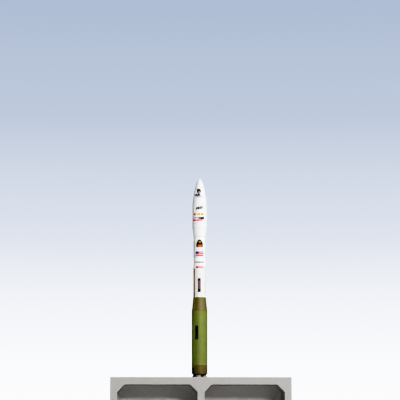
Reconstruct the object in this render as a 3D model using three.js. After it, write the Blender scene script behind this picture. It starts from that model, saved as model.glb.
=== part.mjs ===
// A 1:144 display model of a slim solid-fuel space rocket, upright on its grey plinth.
// Millimetres, +Z up. The origin is on the floor under the rocket's axis, and the front faces -Y.
import * as THREE from "three";

// Plinth: a deck and a base held apart by three walls, with two pockets at the front and two behind
const PLINTH_DEPTH = 66;
const PLINTH_HEIGHT = 48.5;
const SLAB_THICKNESS = 5.4;
const WALL_THICKNESS = 5.2;
const POCKET_WIDTH = 58.2;
const HAUNCH_LEG = 5.3;
const BACK_PANEL_THICKNESS = 6;

// Rocket radii
const STAGE1_RADIUS = 5.8;
const STAGE2_FOOT_RADIUS = 4.7;
const STAGE2_RADIUS = 4.6;
const STAGE3_RADIUS = 4.45;
const FAIRING_RADIUS = 5.43;

// Rocket heights above the deck
const SKIRT_BOTTOM = 3.3;
const STAGE1_BOTTOM = 9.9;
const STAGE1_TOP = 49.9;
const STAGE2_BOTTOM = 60.5;
const STAGE2_TOP = 84.3;
const STAGE3_BOTTOM = 90.6;
const STAGE3_TOP = 105.8;
const FAIRING_BOTTOM = 112.8;
const FAIRING_SEAM = 116.1;
const NOSE_BOTTOM = 129.7;
const NOSE_TIP = 150.3;

// The nose narrows as the root of 1 - t^NOSE_POWER, with t running from its foot to its tip
const NOSE_POWER = 1.25;
const NOSE_STEPS = 14;

// Each turned section has a small chamfer at both ends, which leaves a fine joint line
const SECTION_CHAMFER = 0.12;
const SECTION_SIDES = 64;

// Four bell nozzles under the skirt, set on a plus that is turned a little
const NOZZLE_PITCH_RADIUS = 3.85;
const NOZZLE_TURN = 12;
const NOZZLE_EXIT_RADIUS = 2;
const NOZZLE_THROAT_RADIUS = 0.6;
const NOZZLE_FLARE_POWER = 0.55;
const NOZZLE_WALL = 0.2;
const NOZZLE_SIDES = 28;
const NOZZLE_STEPS = 6;

// The closure plugs the skirt. Its boss narrows between the nozzles and stands on the deck
const CLOSURE_BOTTOM = 2.65;
const CLOSURE_TOP = 5;
const CLOSURE_RADIUS = 5.1;
const SKIRT_WALL = 0.6;
const BOSS_GAP = 0.1;

// Raceways: low cable covers in one line up the left side, a hair off the skin
const RACEWAY_ANGLE = -72;
const RACEWAY_SKIN_GAP = 0.02;
const RACEWAY_END_GAP = 0.05;
const RACEWAY_TIP_RISE = 0.06;
const RACEWAY_LOW_RISE = 0.17;
const RACEWAY_HIGH_RISE = 0.2;
const RACEWAY_WIDE = 5.2;
const RACEWAY_NARROW = 3.3;
const RACEWAY_TIP_WIDTH = 2.6;
const RACEWAY_FOOT_WIDTH = 3.2;
const RACEWAY_FOOT = 3.7;
const RACEWAY_FOOT_TOP = 7.9;
const RACEWAY_TAPER = 0.7;
const RACEWAY_CAP_BOTTOM = 82;
const RACEWAY_TOP = 102.7;
const ARC_STEPS = 8;

// Bare colours of the paints
const COLOR = {
  plinth: 0xbcb8b4,
  plinthPanel: 0xb2afab,
  white: 0xf2f1ef,
  green: 0x74823e,
  brown: 0x7f7448,
  skirt: 0x62572a,
  khaki: 0x7e5e2c,
  nozzle: 0xbeb4a5,
  black: 0x0c0b0d,
};

const model = new THREE.Group();
const plinth = new THREE.Group();
const rocket = new THREE.Group();
rocket.position.z = PLINTH_HEIGHT;
model.add(plinth, rocket);

function addPiece(group, name, geometry, color, roughness = 0.55) {
  const material = new THREE.MeshStandardMaterial({ color, roughness, metalness: 0 });
  const mesh = new THREE.Mesh(geometry, material);
  mesh.name = name;
  group.add(mesh);
  return mesh;
}

// A turned solid: its profile runs up from the axis and back to it, as [radius, height] pairs
function turned(profile, sides) {
  const points = profile.map(([radius, height]) => new THREE.Vector2(radius, height));
  const geometry = new THREE.LatheGeometry(points, sides);
  geometry.rotateX(Math.PI / 2);
  return geometry;
}

// A straight or tapered section with a chamfer at each end
function section(bottom, top, bottomRadius, topRadius) {
  const c = SECTION_CHAMFER;
  return turned([
    [0, bottom],
    [bottomRadius - c, bottom],
    [bottomRadius, bottom + c],
    [topRadius, top - c],
    [topRadius - c, top],
    [0, top],
  ], SECTION_SIDES);
}

// A cover that follows the skin: each row gives its height, skin radius, rise and width
function skinCover(rows) {
  const positions = [];
  for (const { height, skin, rise, width } of rows) {
    const reach = Math.asin(width / 2 / skin);
    for (const radius of [skin + RACEWAY_SKIN_GAP, skin + rise]) {
      for (let i = 0; i <= ARC_STEPS; i += 1) {
        const angle = THREE.MathUtils.degToRad(RACEWAY_ANGLE) - reach + 2 * reach * i / ARC_STEPS;
        positions.push(radius * Math.sin(angle), -radius * Math.cos(angle), height);
      }
    }
  }
  const perArc = ARC_STEPS + 1;
  const perRow = 2 * perArc;
  const index = [];
  const quad = (a, b, c, d) => index.push(a, b, c, a, c, d);
  for (let row = 0; row < rows.length - 1; row += 1) {
    const low = row * perRow;
    const high = low + perRow;
    for (let i = 0; i < ARC_STEPS; i += 1) {
      quad(low + i + 1, low + i, high + i, high + i + 1);
      quad(low + perArc + i, low + perArc + i + 1, high + perArc + i + 1, high + perArc + i);
    }
    quad(low, low + perArc, high + perArc, high);
    quad(low + perRow - 1, low + ARC_STEPS, high + ARC_STEPS, high + perRow - 1);
  }
  const last = (rows.length - 1) * perRow;
  for (let i = 0; i < ARC_STEPS; i += 1) {
    quad(i, i + 1, perArc + i + 1, perArc + i);
    quad(last + i + 1, last + i, last + perArc + i, last + perArc + i + 1);
  }
  const geometry = new THREE.BufferGeometry();
  geometry.setAttribute("position", new THREE.Float32BufferAttribute(positions, 3));
  geometry.setIndex(index);
  return geometry;
}

// A flat outline in X and Z, given depth along Y and centred on it
function upright(outline, depth) {
  const shape = new THREE.Shape(outline.map(([x, z]) => new THREE.Vector2(x, z)));
  const geometry = new THREE.ExtrudeGeometry(shape, { depth, bevelEnabled: false });
  geometry.rotateX(Math.PI / 2);
  geometry.translate(0, depth / 2, 0);
  return geometry;
}

function addPlinth() {
  const width = 2 * POCKET_WIDTH + 3 * WALL_THICKNESS;
  const floor = SLAB_THICKNESS;
  const ceiling = PLINTH_HEIGHT - SLAB_THICKNESS;

  const slabs = [
    { name: "plinth_base", height: SLAB_THICKNESS / 2 },
    { name: "plinth_deck", height: PLINTH_HEIGHT - SLAB_THICKNESS / 2 },
  ];
  for (const { name, height } of slabs) {
    const slab = new THREE.BoxGeometry(width, PLINTH_DEPTH, SLAB_THICKNESS);
    addPiece(plinth, name, slab, COLOR.plinth).position.z = height;
  }

  const wallPitch = POCKET_WIDTH + WALL_THICKNESS;
  const walls = [
    { name: "plinth_wall_left", x: -wallPitch },
    { name: "plinth_wall_middle", x: 0 },
    { name: "plinth_wall_right", x: wallPitch },
  ];
  for (const { name, x } of walls) {
    const wall = new THREE.BoxGeometry(WALL_THICKNESS, PLINTH_DEPTH, ceiling - floor);
    addPiece(plinth, name, wall, COLOR.plinth).position.set(x, 0, (floor + ceiling) / 2);
  }

  // Each pocket has a 45 degree haunch in its four corners and a panel across its middle
  const pockets = [
    { side: "left", x: -wallPitch / 2 },
    { side: "right", x: wallPitch / 2 },
  ];
  const corners = [
    { name: "top_west", out: -1, edge: ceiling, up: 1 },
    { name: "top_east", out: 1, edge: ceiling, up: 1 },
    { name: "foot_west", out: -1, edge: floor, up: -1 },
    { name: "foot_east", out: 1, edge: floor, up: -1 },
  ];
  const half = POCKET_WIDTH / 2;
  const shoulder = half - HAUNCH_LEG;
  for (const { side, x } of pockets) {
    for (const { name, out, edge, up } of corners) {
      const haunch = upright([
        [out * half, edge],
        [out * shoulder, edge],
        [out * half, edge - up * HAUNCH_LEG],
      ], PLINTH_DEPTH);
      addPiece(plinth, `plinth_haunch_${side}_${name}`, haunch, COLOR.plinth).position.x = x;
    }
    const panel = upright([
      [-shoulder, floor],
      [shoulder, floor],
      [half, floor + HAUNCH_LEG],
      [half, ceiling - HAUNCH_LEG],
      [shoulder, ceiling],
      [-shoulder, ceiling],
      [-half, ceiling - HAUNCH_LEG],
      [-half, floor + HAUNCH_LEG],
    ], BACK_PANEL_THICKNESS);
    addPiece(plinth, `plinth_back_panel_${side}`, panel, COLOR.plinthPanel).position.x = x;
  }
}

// The bell opens from its throat at the closure to its lip on the deck as a quarter wave
function bellAt(step) {
  const share = step / NOZZLE_STEPS;
  const spread = NOZZLE_EXIT_RADIUS - NOZZLE_THROAT_RADIUS;
  return {
    radius: NOZZLE_THROAT_RADIUS + spread * Math.sin(share ** NOZZLE_FLARE_POWER * Math.PI / 2),
    height: CLOSURE_BOTTOM * (1 - share),
  };
}

function addNozzles() {
  const outside = [];
  const inside = [];
  for (let step = 0; step <= NOZZLE_STEPS; step += 1) {
    const { radius, height } = bellAt(step);
    outside.unshift([radius, height]);
    inside.push([radius - NOZZLE_WALL, Math.min(height, CLOSURE_BOTTOM - NOZZLE_WALL)]);
  }
  const crown = [0, CLOSURE_BOTTOM - NOZZLE_WALL];
  const bell = turned([crown, ...inside, ...outside, [0, CLOSURE_BOTTOM]], NOZZLE_SIDES);
  const nozzles = [
    { name: "nozzle_front", quarter: 0 },
    { name: "nozzle_right", quarter: 90 },
    { name: "nozzle_rear", quarter: 180 },
    { name: "nozzle_left", quarter: 270 },
  ];
  for (const { name, quarter } of nozzles) {
    const angle = THREE.MathUtils.degToRad(quarter - NOZZLE_TURN);
    const nozzle = addPiece(rocket, name, bell.clone(), COLOR.nozzle);
    nozzle.position.x = NOZZLE_PITCH_RADIUS * Math.sin(angle);
    nozzle.position.y = -NOZZLE_PITCH_RADIUS * Math.cos(angle);
  }
}

function addAftEnd() {
  // The boss keeps the same gap from the bells all the way down
  const boss = [];
  for (let step = NOZZLE_STEPS; step >= 0; step -= 1) {
    const { radius, height } = bellAt(step);
    boss.push([NOZZLE_PITCH_RADIUS - BOSS_GAP - radius, height]);
  }
  const closure = turned([
    [0, 0],
    ...boss,
    [CLOSURE_RADIUS, CLOSURE_BOTTOM],
    [CLOSURE_RADIUS, CLOSURE_TOP],
    [0, CLOSURE_TOP],
  ], SECTION_SIDES);
  addPiece(rocket, "base_closure", closure, COLOR.black);

  const c = SECTION_CHAMFER;
  const mouth = STAGE1_RADIUS - SKIRT_WALL;
  const skirt = turned([
    [0, CLOSURE_TOP],
    [mouth, CLOSURE_TOP],
    [mouth, SKIRT_BOTTOM],
    [STAGE1_RADIUS - 2 * c, SKIRT_BOTTOM],
    [STAGE1_RADIUS, SKIRT_BOTTOM + 2 * c],
    [STAGE1_RADIUS, STAGE1_BOTTOM - c],
    [STAGE1_RADIUS - c, STAGE1_BOTTOM],
    [0, STAGE1_BOTTOM],
  ], SECTION_SIDES);
  addPiece(rocket, "aft_skirt", skirt, COLOR.skirt);
}

function addSections() {
  // Each row: name, paint, bottom and top height, bottom and top radius
  const sections = [
    ["stage1_motor_case", COLOR.green, STAGE1_BOTTOM, STAGE1_TOP, STAGE1_RADIUS, STAGE1_RADIUS],
    ["interstage_1_2", COLOR.brown, STAGE1_TOP, STAGE2_BOTTOM, STAGE1_RADIUS, STAGE2_FOOT_RADIUS],
    ["stage2_motor_case", COLOR.white, STAGE2_BOTTOM, STAGE2_TOP, STAGE2_RADIUS, STAGE2_RADIUS],
    ["interstage_2_3", COLOR.white, STAGE2_TOP, STAGE3_BOTTOM, STAGE3_RADIUS, STAGE3_RADIUS],
    ["stage3_motor_case", COLOR.white, STAGE3_BOTTOM, STAGE3_TOP, STAGE3_RADIUS, STAGE3_RADIUS],
    ["fairing_boat_tail", COLOR.white, STAGE3_TOP, FAIRING_BOTTOM, STAGE3_RADIUS, FAIRING_RADIUS],
    ["fairing_base_ring", COLOR.white, FAIRING_BOTTOM, FAIRING_SEAM, FAIRING_RADIUS, FAIRING_RADIUS],
    ["fairing_barrel", COLOR.white, FAIRING_SEAM, NOSE_BOTTOM, FAIRING_RADIUS, FAIRING_RADIUS],
  ];
  for (const [name, color, bottom, top, bottomRadius, topRadius] of sections) {
    addPiece(rocket, name, section(bottom, top, bottomRadius, topRadius), color);
  }

  const nose = [[0, NOSE_BOTTOM], [FAIRING_RADIUS - SECTION_CHAMFER, NOSE_BOTTOM]];
  for (let step = 0; step <= NOSE_STEPS; step += 1) {
    // Steps close up towards the tip, where the curve turns fastest
    const t = Math.sin(step / NOSE_STEPS * Math.PI / 2);
    const lift = step === 0 ? SECTION_CHAMFER : t * (NOSE_TIP - NOSE_BOTTOM);
    nose.push([FAIRING_RADIUS * Math.sqrt(Math.max(0, 1 - t ** NOSE_POWER)), NOSE_BOTTOM + lift]);
  }
  addPiece(rocket, "fairing_nose", turned(nose, SECTION_SIDES), COLOR.white);
}

function addRaceways() {
  const row = (height, skin, rise, width) => ({ height, skin, rise, width });
  const gap = RACEWAY_END_GAP;
  const low = RACEWAY_LOW_RISE;
  const high = RACEWAY_HIGH_RISE;
  const covers = [
    {
      name: "raceway_foot",
      color: COLOR.black,
      rows: [
        row(RACEWAY_FOOT, STAGE1_RADIUS, RACEWAY_TIP_RISE, RACEWAY_FOOT_WIDTH),
        row(RACEWAY_FOOT + RACEWAY_TAPER, STAGE1_RADIUS, low, RACEWAY_WIDE),
        row(RACEWAY_FOOT_TOP - gap, STAGE1_RADIUS, low, RACEWAY_WIDE),
      ],
    },
    {
      name: "stage1_raceway",
      color: COLOR.green,
      rows: [
        row(RACEWAY_FOOT_TOP + gap, STAGE1_RADIUS, low, RACEWAY_WIDE),
        row(STAGE1_TOP - gap, STAGE1_RADIUS, low, RACEWAY_WIDE),
      ],
    },
    {
      name: "interstage_raceway",
      color: COLOR.brown,
      rows: [
        row(STAGE1_TOP + gap, STAGE1_RADIUS, low, RACEWAY_WIDE),
        row(STAGE2_BOTTOM - gap, STAGE2_FOOT_RADIUS, low, RACEWAY_NARROW),
      ],
    },
    {
      name: "stage2_raceway",
      color: COLOR.khaki,
      rows: [
        row(STAGE2_BOTTOM + gap, STAGE2_RADIUS, low, RACEWAY_NARROW),
        row(RACEWAY_CAP_BOTTOM - gap, STAGE2_RADIUS, low, RACEWAY_NARROW),
      ],
    },
    {
      name: "stage2_raceway_cap",
      color: COLOR.white,
      rows: [
        row(RACEWAY_CAP_BOTTOM, STAGE2_RADIUS, low, RACEWAY_NARROW),
        row(STAGE2_TOP - gap - RACEWAY_TAPER, STAGE2_RADIUS, low, RACEWAY_NARROW),
        row(STAGE2_TOP - gap, STAGE2_RADIUS, RACEWAY_TIP_RISE, RACEWAY_TIP_WIDTH),
      ],
    },
    {
      name: "stage3_raceway",
      color: COLOR.white,
      rows: [
        row(STAGE3_BOTTOM, STAGE3_RADIUS, RACEWAY_TIP_RISE, RACEWAY_TIP_WIDTH),
        row(STAGE3_BOTTOM + RACEWAY_TAPER, STAGE3_RADIUS, high, RACEWAY_NARROW),
        row(RACEWAY_TOP - RACEWAY_TAPER, STAGE3_RADIUS, high, RACEWAY_NARROW),
        row(RACEWAY_TOP, STAGE3_RADIUS, RACEWAY_TIP_RISE, RACEWAY_TIP_WIDTH),
      ],
    },
  ];
  for (const { name, color, rows } of covers) {
    addPiece(rocket, name, skinCover(rows), color);
  }
}

addPlinth();
addNozzles();
addAftEnd();
addSections();
addRaceways();

export default model;
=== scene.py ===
"""Dresses a 1:144 display model of a slim space rocket, upright on its grey plinth."""

import functools
import math

import bmesh
import bpy
from bpy.props import FloatProperty, FloatVectorProperty, IntProperty, PointerProperty
from bpy.types import Operator, Panel, PropertyGroup
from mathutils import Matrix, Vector


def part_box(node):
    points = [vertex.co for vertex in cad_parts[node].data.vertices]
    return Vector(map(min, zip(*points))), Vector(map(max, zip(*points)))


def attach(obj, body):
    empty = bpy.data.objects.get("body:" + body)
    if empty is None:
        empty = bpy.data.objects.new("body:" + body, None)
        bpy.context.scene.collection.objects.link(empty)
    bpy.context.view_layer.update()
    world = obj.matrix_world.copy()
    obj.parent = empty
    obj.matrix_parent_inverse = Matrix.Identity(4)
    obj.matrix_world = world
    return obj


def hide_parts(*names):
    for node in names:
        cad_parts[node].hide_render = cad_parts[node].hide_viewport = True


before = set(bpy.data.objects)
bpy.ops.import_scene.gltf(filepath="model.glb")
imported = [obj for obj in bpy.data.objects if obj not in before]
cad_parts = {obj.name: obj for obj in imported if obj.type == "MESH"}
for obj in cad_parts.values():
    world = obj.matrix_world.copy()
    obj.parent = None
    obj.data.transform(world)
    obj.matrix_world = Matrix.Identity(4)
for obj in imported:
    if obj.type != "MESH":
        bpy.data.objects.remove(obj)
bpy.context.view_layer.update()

bl_info = {
    "name": "Space rocket display model",
    "version": (1, 0, 0),
    "blender": (4, 5, 0),
    "location": "3D View > Sidebar > Rocket Model",
    "description": "Finishes, fine shapes and markings for a small rocket model on its plinth",
    "category": "Object",
}

MM = 0.001
BODY = "root"

# The part's attribute that marks rims and joints, where grime gathers and paint thins on the rocket.
# It also places a painted highlight on the plinth's rims and painted shade towards the bells' throats
WEAR_AND_PAINTED_LIGHT = "wear"


# Places and sizes that come from the part's solids

@functools.cache
def node_box(node):
    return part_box(node)


def lowest(node):
    return node_box(node)[0]


def highest(node):
    return node_box(node)[1]


DECK = highest("plinth_deck").z

# Each turned section: its node and the paint it wears
SECTIONS = (
    ("aft_skirt", "skirt"),
    ("stage1_motor_case", "green"),
    ("interstage_1_2", "brown"),
    # The upper stages take the brighter white, which is painted light
    ("stage2_motor_case", "clean_white"),
    ("interstage_2_3", "clean_white"),
    ("stage3_motor_case", "clean_white"),
    ("fairing_boat_tail", "white"),
    ("fairing_base_ring", "white"),
    ("fairing_barrel", "white"),
)


def skin_radius(height):
    """Radius of the rocket's skin, in metres, at a height above the floor."""
    settings = bpy.context.scene.rocket_shape
    if height > lowest("fairing_nose").z:
        foot, tip = node_box("fairing_nose")
        share = min(1.0, (height - foot.z) / (tip.z - foot.z))
        return tip.x * math.sqrt(max(0.0, 1 - share ** settings.nose_power))
    for node, _ in SECTIONS:
        low, high = node_box(node)
        if low.z <= height <= high.z:
            foot_radius, head_radius = section_radii(node)
            share = (height - low.z) / (high.z - low.z)
            return foot_radius + share * (head_radius - foot_radius)
    raise RuntimeError(f"no section of the rocket is at height {height}")


def section_radii(node):
    """Foot and head radius of a turned section. The two cones end on their neighbours' radii."""
    radius = highest(node).x
    if node == "interstage_1_2":
        return radius, bpy.context.scene.rocket_shape.interstage_head_radius
    if node == "fairing_boat_tail":
        return highest("stage3_motor_case").x, radius
    return radius, radius


# Properties that a user would change

def linear(red, green, blue):
    """A display colour, each channel from 0 to 255, as the linear colour that a shader takes."""
    def channel(value):
        share = value / 255
        return share / 12.92 if share <= 0.04045 else ((share + 0.055) / 1.055) ** 2.4
    return channel(red), channel(green), channel(blue)


def colour_property(name, description, red, green, blue):
    """A colour, given as it shows on a display."""
    return FloatVectorProperty(
        name=name, description=description, default=linear(red, green, blue),
        subtype="COLOR", size=3, min=0, max=1,
    )


def length_property(name, description, millimetres):
    """A length, given in millimetres and kept in metres."""
    return FloatProperty(
        name=name, description=description, default=millimetres * MM,
        unit="LENGTH", subtype="DISTANCE", precision=5, min=0,
    )


def angle_property(name, description, degrees):
    """An angle, given in degrees."""
    return FloatProperty(
        name=name, description=description, default=math.radians(degrees), subtype="ANGLE", unit="ROTATION",
    )


def number_property(name, description, number, least=0, unit="NONE"):
    """A number with the least that makes sense."""
    return FloatProperty(name=name, description=description, default=number, min=least, unit=unit)


class RocketShape(PropertyGroup):
    """Sizes of the fine shapes that the solids leave out."""
    sides: IntProperty(name="Sides", description="Sides of a turned section", default=160, min=16)
    lip: length_property("Lip", "Rounding at the ends of a turned section", 0.12)
    nose_power: number_property("Nose power", "How full the nose is: higher is blunter", 1.25, 1)
    nose_rows: IntProperty(name="Nose rows", description="Rows up the nose", default=48, min=8)
    interstage_head_radius: length_property("Interstage top", "Radius at the interstage's top", 4.7)
    plinth_rounding: length_property("Plinth edges", "Rounding of the plinth's outer edges", 0.25)
    pocket_corner: length_property("Pocket haunch", "Leg of the 45 degree corners in a pocket", 5.3)
    bell_wall: length_property("Bell wall", "Wall of a nozzle bell", 0.2)
    bell_throat: length_property("Bell throat", "Throat radius of a nozzle bell", 0.6)
    raceway_angle: angle_property("Raceway place", "Angle of the raceways from the front, to the left", 72)
    fastener_radius: length_property("Fastener head", "Radius of a fastener's head", 0.1)
    fastener_height: length_property("Fastener rise", "How far a fastener's head stands out", 0.035)
    marking_rise: length_property("Marking film", "Thickness of a marking's film", 0.015)


class RocketPaints(PropertyGroup):
    """Bare colours of the paints and of the markings' inks."""
    plinth: colour_property("Plinth", "Matt grey of the plinth", 134, 132, 128)
    # The plinth's paler grey: random pale patches, and a painted highlight along its rounded edges
    plinth_pale_and_highlight: colour_property("Plinth edge", "Lighter grey where edges are rubbed", 143, 140, 137)
    # Painted light: the back panels are painted paler than the plinth's grey, standing for light reaching
    # into the pockets
    recess: colour_property("Recess", "Paler grey of the pockets' back panels", 172, 169, 166)
    recess_mottle: colour_property("Recess mottle", "Duller tone in the back panels", 164, 161, 158)
    white: colour_property("White", "Satin white of the fairing", 222, 221, 220)
    white_mottle: colour_property("White mottle", "Faint warm tone in the white", 214, 213, 211)
    # Painted light: the upper stages wear a brighter copy of the fairing's white, standing for the stronger
    # light on them
    clean_white: colour_property("Clean white", "Brighter white of the two upper stages", 233, 232, 230)
    lit_white_mottle: colour_property("Clean white mottle", "Faint warm tone in the clean white", 226, 225, 222)
    # Painted shade: the third stage's raceway wears a greyer copy of the white, standing for the shade on
    # the rocket's left flank
    dull_white: colour_property("Dull white", "Greyer white of the third stage's raceway", 196, 193, 185)
    shaded_white_mottle: colour_property("Dull white mottle", "Faint warm tone in the dull white", 188, 185, 177)
    green: colour_property("Green", "Olive green of the first stage", 97, 108, 30)
    green_mottle: colour_property("Green mottle", "Duller tone in the green", 92, 101, 28)
    brown: colour_property("Brown", "Olive brown of the interstage", 86, 78, 14)
    brown_mottle: colour_property("Brown mottle", "Pinkish tone in the brown", 91, 80, 26)
    cover_brown: colour_property("Cover brown", "Paler brown of the interstage's raceway", 108, 98, 30)
    cover_mottle: colour_property("Cover brown mottle", "Duller tone in the cover's brown", 100, 90, 26)
    skirt: colour_property("Skirt", "Dark olive brown of the aft skirt", 78, 69, 5)
    skirt_mottle: colour_property("Skirt mottle", "Cooler tone in the skirt", 74, 65, 9)
    khaki: colour_property("Khaki", "Khaki of the second stage's raceway", 138, 108, 22)
    khaki_mottle: colour_property("Khaki mottle", "Browner tone in the khaki", 128, 96, 26)
    cream: colour_property("Cream", "Cream of the nozzle bells", 146, 137, 122)
    # Soot and painted shade: this dark tone fills the bells inside as soot, and on their outside grows
    # towards the throat as painted shade
    soot: colour_property("Soot", "Dark tone in the nozzle bells", 50, 45, 40)
    # Painted shade: the rear and left bells wear near black, standing for the shade they lie in
    sooty: colour_property("Sooty", "Near black of the two sooty nozzle bells", 24, 21, 17)
    # The black also covers the raceway's foot on the skirt, as painted shade below the raceway's end
    black: colour_property("Black", "Black of the base closure", 14, 13, 14)
    grime: colour_property("Grime", "What gathers in the joints", 60, 55, 44)
    ink_black: colour_property("Ink black", "Black of the markings", 10, 9, 10)
    ink_mauve: colour_property("Ink mauve", "Mauve of the second stage's panel", 94, 66, 72)
    ink_violet: colour_property("Ink violet", "Pale violet of the thin dashes", 108, 82, 110)
    ink_red: colour_property("Ink red", "Red of the strips and of the flag", 196, 48, 58)
    ink_rose: colour_property("Ink rose", "Rose end of the red strips", 240, 86, 100)
    ink_blue: colour_property("Ink blue", "Blue of the flag's corner", 4, 42, 120)
    ink_navy: colour_property("Ink navy", "Dark blue of the nose marking", 34, 42, 84)
    ink_sky: colour_property("Ink sky", "Pale blue of the nose marking", 136, 166, 178)
    ink_teal: colour_property("Ink teal", "Dark teal of the nose marking", 8, 40, 46)
    ink_sea: colour_property("Ink sea green", "Green part of the dark strip", 54, 74, 70)
    ink_maroon: colour_property("Ink maroon", "Maroon end of the dark strip", 42, 20, 26)
    ink_grey: colour_property("Ink grey", "Grey part of the dark strip", 150, 146, 154)
    ink_charcoal: colour_property("Ink charcoal", "Charcoal of the slanted dashes", 26, 16, 16)
    ink_orange: colour_property("Ink orange", "Orange of the left square", 196, 120, 0)
    ink_amber: colour_property("Ink amber", "Amber of the middle square", 224, 148, 0)
    ink_yellow: colour_property("Ink yellow", "Yellow of the right square", 200, 144, 0)
    ink_gold: colour_property("Ink gold", "Dull gold of the badge", 118, 104, 0)
    ink_crimson: colour_property("Ink crimson", "Deep red of the badge", 96, 0, 8)
    ink_flame: colour_property("Ink flame", "Strong orange of the badge", 220, 64, 0)


class RocketStage(PropertyGroup):
    """The camera, the lights and what stands round the model."""
    lens: number_property("Lens", "Focal length in millimetres", 156.42, 20, "CAMERA")
    distance: length_property("Distance", "From the camera to the rocket's axis", 1300)
    camera_height: length_property("Camera height", "Camera above the floor", 3.2)
    camera_shift: length_property("Camera shift", "How far left of the rocket the camera stands", 39.4)
    yaw: angle_property("Yaw", "How far the camera turns to the right", 1.747)
    pitch: angle_property("Pitch", "How far the camera looks up", 7.862)
    key_power: number_property("Key power", "Main light, in watts", 7.45, unit="POWER")
    fill_power: number_property("Fill power", "Light from the front right, in watts", 2.7, unit="POWER")
    side_power: number_property("Side power", "Light from the right, in watts", 5.2, unit="POWER")
    back_power: number_property("Back power", "Light from behind, in watts", 7, unit="POWER")
    ambient: number_property("Ambient", "Light from all round", 0.008)
    tone_top: number_property("Tone top", "What the brightest tones tend to", 1.08, 1.01)
    tone_power: number_property("Tone power", "How fast dark tones deepen", 1.7, 1)
    tone_pivot: number_property("Tone pivot", "Where tones turn from deep to pale", 0.161)


# Node helpers

def feed(tree, socket, value):
    """Gives an input a plain value, another node's socket, or a node's first output."""
    if isinstance(value, bpy.types.Node):
        value = value.outputs[0]
    if isinstance(value, bpy.types.NodeSocket):
        tree.links.new(value, socket)
    else:
        socket.default_value = value


def add_node(tree, kind, inputs=None, **settings):
    """A node with its settings, then its inputs by label or by place."""
    node = tree.nodes.new(kind)
    for key, value in settings.items():
        setattr(node, key, value)
    for label, value in (inputs or {}).items():
        feed(tree, node.inputs[label], value)
    return node


def new_group(name, kind, inputs, outputs):
    """A node group, what it is given and what it makes. Each socket is a name, a type and a default."""
    tree = bpy.data.node_groups.new(name, kind)
    for in_out, sockets in (("INPUT", inputs), ("OUTPUT", outputs)):
        for label, socket_type, *default in sockets:
            socket = tree.interface.new_socket(label, in_out=in_out, socket_type="NodeSocket" + socket_type)
            if default:
                socket.default_value = default[0]
    return tree, tree.nodes.new("NodeGroupInput").outputs, tree.nodes.new("NodeGroupOutput").inputs


def add_math(tree, operation, *values):
    """What a math node makes of its values, which are numbers or sockets."""
    return add_node(tree, "ShaderNodeMath", dict(enumerate(values)), operation=operation).outputs[0]


def add_noise(tree, coordinates, size, detail=4.0):
    """Noise whose patches are about as wide as size says, in metres."""
    return add_node(tree, "ShaderNodeTexNoise", {
        "Vector": coordinates,
        "Scale": add_math(tree, "DIVIDE", 1, size),
        "Detail": detail,
        "Roughness": 0.55,
    }).outputs["Fac"]


def add_range(tree, value, from_low, from_high, to_low=0, to_high=1):
    """A smooth step from one range to another."""
    return add_node(tree, "ShaderNodeMapRange", {
        "Value": value,
        "From Min": from_low,
        "From Max": from_high,
        "To Min": to_low,
        "To Max": to_high,
    }, interpolation_type="SMOOTHSTEP").outputs["Result"]


def add_mix(tree, share, first, second):
    """A colour between two others. A mix of colours takes inputs 6 and 7 and gives output 2."""
    return add_node(tree, "ShaderNodeMix", {0: share, 6: first, 7: second}, data_type="RGBA").outputs[2]


def object_place(tree):
    return tree.nodes.new("ShaderNodeTexCoord").outputs["Object"]


def opaque(colour):
    return (*colour, 1.0)


# Shader groups that the finishes share

# Where a smooth step over each noise starts and ends
CLOUD_STEP = (0.38, 0.62)
GRAIN_STEP = (0.3, 0.7)
GLOSS_STEP = (0.35, 0.65)
WEAR_STEP = (0.3, 0.65)

# Tone of the darkest and the lightest speck, how much of the gloss follows the clouds, and how much
# wear is left between its patches
SPECK_TONES = (0.94, 1.05)
GLOSS_FROM_CLOUDS = 0.6
LEAST_WEAR = 0.35


def paint_skin_group():
    """Paint that clouds from one tone to another, with a fine grain and an uneven gloss."""
    tree, given, made = new_group(
        "paint_skin", "ShaderNodeTree",
        [
            ("Paint", "Color"),
            ("Second Tone", "Color"),
            ("Cloud Size", "Float", 2 * MM),
            ("Cloud Share", "Float", 0.5),
            ("Grain Size", "Float", 0.1 * MM),
            ("Gloss Low", "Float", 0.35),
            ("Gloss High", "Float", 0.5),
        ],
        [("Color", "Color"), ("Roughness", "Float"), ("Height", "Float")],
    )
    place = object_place(tree)
    clouds = add_noise(tree, place, given["Cloud Size"])
    cloud_mask = add_math(tree, "MULTIPLY", add_range(tree, clouds, *CLOUD_STEP), given["Cloud Share"])
    toned = add_mix(tree, cloud_mask, given["Paint"], given["Second Tone"])
    grain = add_noise(tree, place, given["Grain Size"], detail=2.0)
    speck = add_range(tree, grain, *GRAIN_STEP, *SPECK_TONES)
    feed(tree, made["Color"], add_node(
        tree, "ShaderNodeVectorMath", {0: toned, "Scale": speck}, operation="SCALE",
    ))
    grain_part = add_math(tree, "MULTIPLY", grain, 1 - GLOSS_FROM_CLOUDS)
    gloss = add_math(tree, "MULTIPLY_ADD", clouds, GLOSS_FROM_CLOUDS, grain_part)
    roughness = add_range(tree, gloss, *GLOSS_STEP, given["Gloss Low"], given["Gloss High"])
    feed(tree, made["Roughness"], roughness)
    feed(tree, made["Height"], grain)
    return tree


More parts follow.
